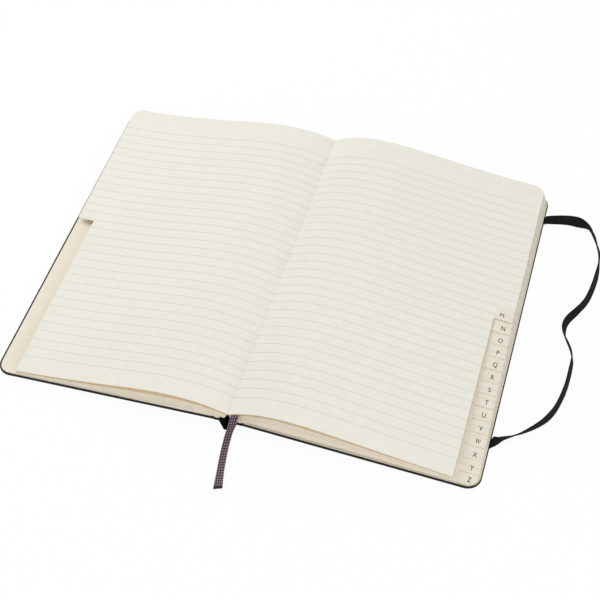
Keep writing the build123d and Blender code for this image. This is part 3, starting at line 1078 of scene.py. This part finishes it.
# Woven elastic is spun rayon over rubber threads: matt black, with fine ribs about 0.8 mm apart.
elastic, surface = start_material("black_woven_elastic", {"Roughness": 0.8, "Specular IOR Level": 0.15})
strip_map = add_node(elastic, "ShaderNodeUVMap", {"uv_map": "weave"})
knit = crossed_threads(elastic, strip_map.outputs["UV"], 0.8 * mm, 0.9 * mm)
tone = add_node(elastic, "ShaderNodeValToRGB", {}, {"Fac": knit})
tone.color_ramp.elements[0].color = linear("#0d0c0c")
tone.color_ramp.elements[1].color = linear("#1d1c1c")
ridge = add_node(elastic, "ShaderNodeBump", {"Strength": 0.5, "Distance": 0.12 * mm}, {"Height": knit})
feed(surface, {"Base Color": tone.outputs["Color"], "Normal": ridge.outputs["Normal"]})

for y, name in ((elastic_head_y, "elastic_end_head"), (elastic_tail_y, "elastic_end_tail")):
    tuck = []
    for number in range(tuck_points):
        tucked = elastic_tuck * (1 - number / (tuck_points - 1))
        spot = Vector((cover_width + elastic_rim - tucked, y, cover_thickness / 2))
        tuck.append(cover_place(right) @ spot)
    glued = add_strap(
        f"glued_{name}",
        tuck,
        [Vector((0, 1, 0))] * tuck_points,
        [elastic_width] * tuck_points,
        elastic_thickness,
        elastic,
    )
    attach(glued, "back_cover")
    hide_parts(name)

loop_line, leans = spline_points("elastic_line", elastic_route)
acrosses = []
for number, lean in enumerate(leans):
    before = loop_line[max(number - 1, 0)]
    after = loop_line[min(number + 1, len(loop_line) - 1)]
    aside = (after - before).cross(Vector((0, 0, 1))).normalized()
    across = Vector((0, 0, 1)) * cos(radians(lean)) + aside * sin(radians(lean))
    to_end = min((loop_line[number] - loop_line[end]).length for end in (0, -1))
    acrosses.append(across.lerp(Vector((0, -1, 0)), max(0, 1 - to_end / end_blend)).normalized())
loop = add_strap(
    "elastic_loop", loop_line, acrosses, [elastic_width] * len(loop_line), elastic_thickness, elastic
)
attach(loop, "back_cover")
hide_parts("elastic_band")

# Studio: a plain white sheet under the book, soft even light from all round, a large soft lamp high on
# the left and one lower on the right, past the tail, which lights the book less. The camera looks down
# from past the tail, a little to the right, as in the photograph.
floor_size = 6
floor_drop = 0.6 * mm
floor_glow = 0.95
sky_light = 0.63
bpy.ops.mesh.primitive_plane_add(size=floor_size, location=(0, 0, -floor_drop))
floor = bpy.context.object
floor.name = "studio_floor"
# The sheet is matt white paper that glows to the camera, so that only a faint shade is left on it.
white_sheet, surface = start_material(
    "white_studio_sheet", {"Base Color": linear("#f4f4f4"), "Roughness": 0.9, "Specular IOR Level": 0.1}
)
path = add_node(white_sheet, "ShaderNodeLightPath")
glow = add_node(white_sheet, "ShaderNodeEmission", {"Strength": 1})
seen = add_node(
    white_sheet,
    "ShaderNodeMath",
    {"operation": "MULTIPLY", 1: floor_glow},
    {0: path.outputs["Is Camera Ray"]},
)
blend = add_node(
    white_sheet,
    "ShaderNodeMixShader",
    {},
    {0: seen.outputs["Value"], 1: surface.outputs["BSDF"], 2: glow.outputs["Emission"]},
)
feed(white_sheet.node_tree.nodes["Material Output"], {"Surface": blend.outputs["Shader"]})
floor.data.materials.append(white_sheet)

world = bpy.data.worlds.new("studio")
bpy.context.scene.world = world
world.use_nodes = True
sky = world.node_tree.nodes["Background"]
sky.inputs["Color"].default_value = (1, 1, 1, 1)
path = add_node(world, "ShaderNodeLightPath")
level = add_node(
    world,
    "ShaderNodeMapRange",
    {"To Min": sky_light, "To Max": 1},
    {"Value": path.outputs["Is Camera Ray"]},
)
feed(sky, {"Strength": level.outputs["Result"]})

for name, spot, size, energy in (
    ("soft_lamp", (-0.65, 0.3, 0.8), 0.9, 4.4),
    ("low_fill_lamp", (0.95, -0.75, 0.5), 0.9, 5),
):
    bpy.ops.object.light_add(type="AREA", location=spot)
    lamp = bpy.context.object
    lamp.name = name
    lamp.data.shape = "DISK"
    lamp.data.size = size
    lamp.data.energy = energy
    lamp.rotation_euler = (-lamp.location).to_track_quat("-Z", "Y").to_euler()

# The camera was fitted to the book's edges: its place is in mm, and its focal length in pixels.
azimuth = radians(17.25)
elevation = radians(51.67)
roll = radians(-0.92)
distance = 755.82
aside = 7.83
drop = 10.55
focal_length = 1313.14
photo_width = 600
film_width = 36
back = Vector((sin(azimuth) * cos(elevation), -cos(azimuth) * cos(elevation), sin(elevation)))
across = Vector((0, 0, 1)).cross(back).normalized()
upright = back.cross(across)
side_way = across * cos(roll) + upright * sin(roll)
up_way = upright * cos(roll) - across * sin(roll)
bpy.ops.object.camera_add()
camera = bpy.context.object
camera.name = "photo_camera"
camera.data.sensor_width = film_width
camera.data.lens = film_width * focal_length / photo_width
camera.data.clip_start = 0.01
stand = back * distance * mm + side_way * aside * mm - up_way * drop * mm
camera.matrix_world = turned_place(side_way, up_way, back, stand)
bpy.context.scene.camera = camera
bpy.context.scene.view_settings.view_transform = "Standard"
